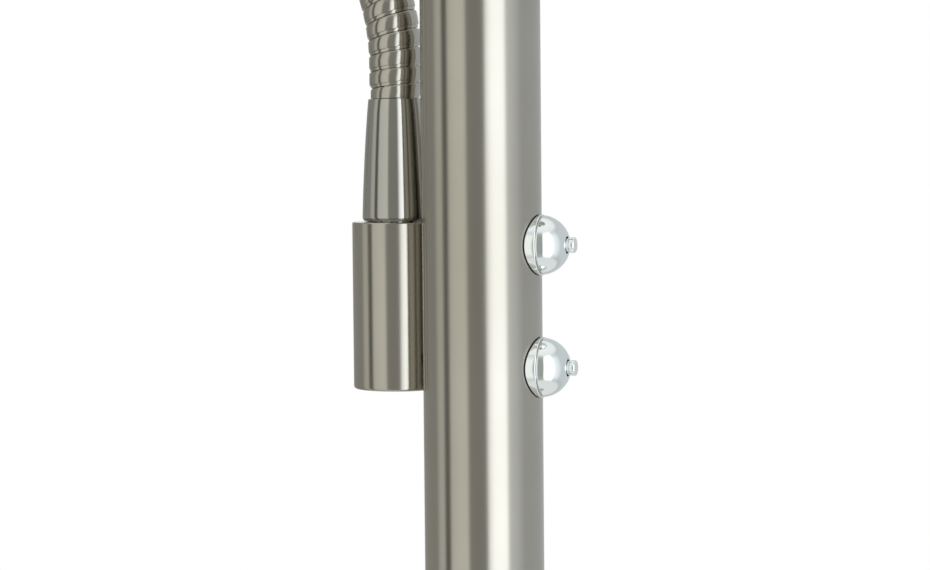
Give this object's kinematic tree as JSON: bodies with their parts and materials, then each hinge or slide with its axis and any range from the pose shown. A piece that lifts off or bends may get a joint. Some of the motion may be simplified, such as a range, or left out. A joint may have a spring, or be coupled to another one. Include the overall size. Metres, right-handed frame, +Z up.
{
  "type": "floor lamp",
  "caption": "Floor lamp with a weighted round foot, steel column, open uplighter bowl, swivelling gooseneck reading spot and domed push switches.",
  "frame": {"origin": "centre of the foot's underside, on the floor and on the column's axis", "axes": "+Z up along the column; +X towards the push switches; the reading arm goes the other way, 19 degrees round from -X towards +Y"},
  "size_m": [0.5209, 0.2946, 1.8006],
  "materials": {
    "brushed_steel": "satin nickel-plated steel, finely brushed",
    "gooseneck_steel": "satin nickel-plated strip wound into a flexible tube",
    "chrome": "polished chrome plate",
    "brass": "machined brass",
    "zinc_steel": "zinc-plated steel",
    "cast_iron": "raw cast iron",
    "felt": "dark grey felt",
    "black_rubber": "matt black rubber",
    "black_plastic": "matt black plastic",
    "cast_aluminium": "plain die-cast aluminium",
    "white_board": "white solder mask",
    "opal_acrylic": "opal acrylic",
    "ceramic": "white glazed ceramic",
    "bulb": "white plastic body with a clear faceted lens"
  },
  "bodies": {
    "lamp_stand": {"arm_grub_screw": "zinc_steel", "arm_holder_cup": "brushed_steel", "arm_swivel_bush": "black_plastic", "base_cover": "brushed_steel", "base_nut": "zinc_steel", "base_pad": "felt", "base_stud": "zinc_steel", "base_washer": "zinc_steel", "base_weight": "cast_iron", "bowl_lock_nut": "zinc_steel", "bowl_neck": "brushed_steel", "bowl_stud": "zinc_steel", "cord_grommet": "black_rubber", "led_board": "white_board", "led_driver": "black_plastic", "led_heat_sink": "cast_aluminium", "led_opal_cover": "opal_acrylic", "lower_pole_coupler": "zinc_steel", "lower_pole_tube": "brushed_steel", "lower_switch_body": "black_plastic", "lower_switch_bushing": "brass", "lower_switch_dome": "chrome", "lower_switch_nut": "zinc_steel", "lower_switch_ring": "chrome", "lower_switch_spring": "zinc_steel", "lower_switch_washer": "black_rubber", "mains_flex": "black_plastic", "middle_pole_tube": "brushed_steel", "pole_foot_collar": "brushed_steel", "pole_foot_plug": "zinc_steel", "pole_top_plug": "zinc_steel", "uplighter_bowl": "brushed_steel", "upper_pole_coupler": "zinc_steel", "upper_pole_tube": "brushed_steel", "upper_switch_body": "black_plastic", "upper_switch_bushing": "brass", "upper_switch_dome": "chrome", "upper_switch_nut": "zinc_steel", "upper_switch_ring": "chrome", "upper_switch_spring": "zinc_steel", "upper_switch_washer": "black_rubber", "wire_nipple": "brass", "wire_nipple_nut": "zinc_steel"},
    "arm_base": {"arm_ferrule": "brushed_steel", "gooseneck_link_1": "gooseneck_steel"},
    "neck_link_2": {"gooseneck_link_2": "gooseneck_steel"},
    "neck_link_3": {"gooseneck_link_3": "gooseneck_steel"},
    "neck_link_4": {"gooseneck_link_4": "gooseneck_steel"},
    "neck_link_5": {"gooseneck_link_5": "gooseneck_steel"},
    "neck_link_6": {"gooseneck_link_6": "gooseneck_steel"},
    "neck_link_7": {"gooseneck_link_7": "gooseneck_steel"},
    "neck_link_8": {"gooseneck_link_8": "gooseneck_steel"},
    "reading_head": {"gooseneck_link_9": "gooseneck_steel", "spot_collar": "brushed_steel", "spot_shade": "brushed_steel", "spot_lampholder": "ceramic", "spot_bulb": "bulb"},
    "upper_button": {"upper_switch_button": "chrome"},
    "lower_button": {"lower_switch_button": "chrome"}
  },
  "joints": [
    {"name": "arm_swivel", "type": "hinge", "parent": "lamp_stand", "child": "arm_base", "pos_m": [-0.02714, 0.00934, 1.26338], "axis": [0, 0, 1], "range_deg": [-110, 110]},
    {"name": "neck_bend_1", "type": "hinge", "parent": "arm_base", "child": "neck_link_2", "pos_m": [-0.03398, 0.0117, 1.33328], "axis": [-0.3256, -0.9455, 0], "range_deg": [-10, 10]},
    {"name": "neck_bend_2", "type": "hinge", "parent": "neck_link_2", "child": "neck_link_3", "pos_m": [-0.05757, 0.01982, 1.36618], "axis": [-0.3256, -0.9455, 0], "range_deg": [-10, 10]},
    {"name": "neck_bend_3", "type": "hinge", "parent": "neck_link_3", "child": "neck_link_4", "pos_m": [-0.08815, 0.03035, 1.39184], "axis": [-0.3256, -0.9455, 0], "range_deg": [-10, 10]},
    {"name": "neck_bend_4", "type": "hinge", "parent": "neck_link_4", "child": "neck_link_5", "pos_m": [-0.1238, 0.04263, 1.40868], "axis": [-0.3256, -0.9455, 0], "range_deg": [-10, 10]},
    {"name": "neck_bend_5", "type": "hinge", "parent": "neck_link_5", "child": "neck_link_6", "pos_m": [-0.16228, 0.05588, 1.41563], "axis": [-0.3256, -0.9455, 0], "range_deg": [-10, 10]},
    {"name": "neck_bend_6", "type": "hinge", "parent": "neck_link_6", "child": "neck_link_7", "pos_m": [-0.20119, 0.06928, 1.41225], "axis": [-0.3256, -0.9455, 0], "range_deg": [-10, 10]},
    {"name": "neck_bend_7", "type": "hinge", "parent": "neck_link_7", "child": "neck_link_8", "pos_m": [-0.23809, 0.08198, 1.39877], "axis": [-0.3256, -0.9455, 0], "range_deg": [-10, 10]},
    {"name": "neck_bend_8", "type": "hinge", "parent": "neck_link_8", "child": "reading_head", "pos_m": [-0.27066, 0.0932, 1.37602], "axis": [-0.3256, -0.9455, 0], "range_deg": [-10, 10]},
    {"name": "upper_button_press", "type": "slide", "parent": "lamp_stand", "child": "upper_button", "axis": [1, 0, 0], "range_m": [-0.0015, 0], "stiffness_N_per_m": 900, "springref_m": 0.001, "deforming": ["upper_switch_spring"]},
    {"name": "lower_button_press", "type": "slide", "parent": "lamp_stand", "child": "lower_button", "axis": [1, 0, 0], "range_m": [-0.0015, 0], "stiffness_N_per_m": 900, "springref_m": 0.001, "deforming": ["lower_switch_spring"]}
  ],
  "couplings": [
    {"joint": "neck_bend_2", "follows": "neck_bend_1", "ratio": 1},
    {"joint": "neck_bend_3", "follows": "neck_bend_1", "ratio": 1},
    {"joint": "neck_bend_4", "follows": "neck_bend_1", "ratio": 1},
    {"joint": "neck_bend_6", "follows": "neck_bend_5", "ratio": 1},
    {"joint": "neck_bend_7", "follows": "neck_bend_5", "ratio": 1},
    {"joint": "neck_bend_8", "follows": "neck_bend_5", "ratio": 1}
  ]
}
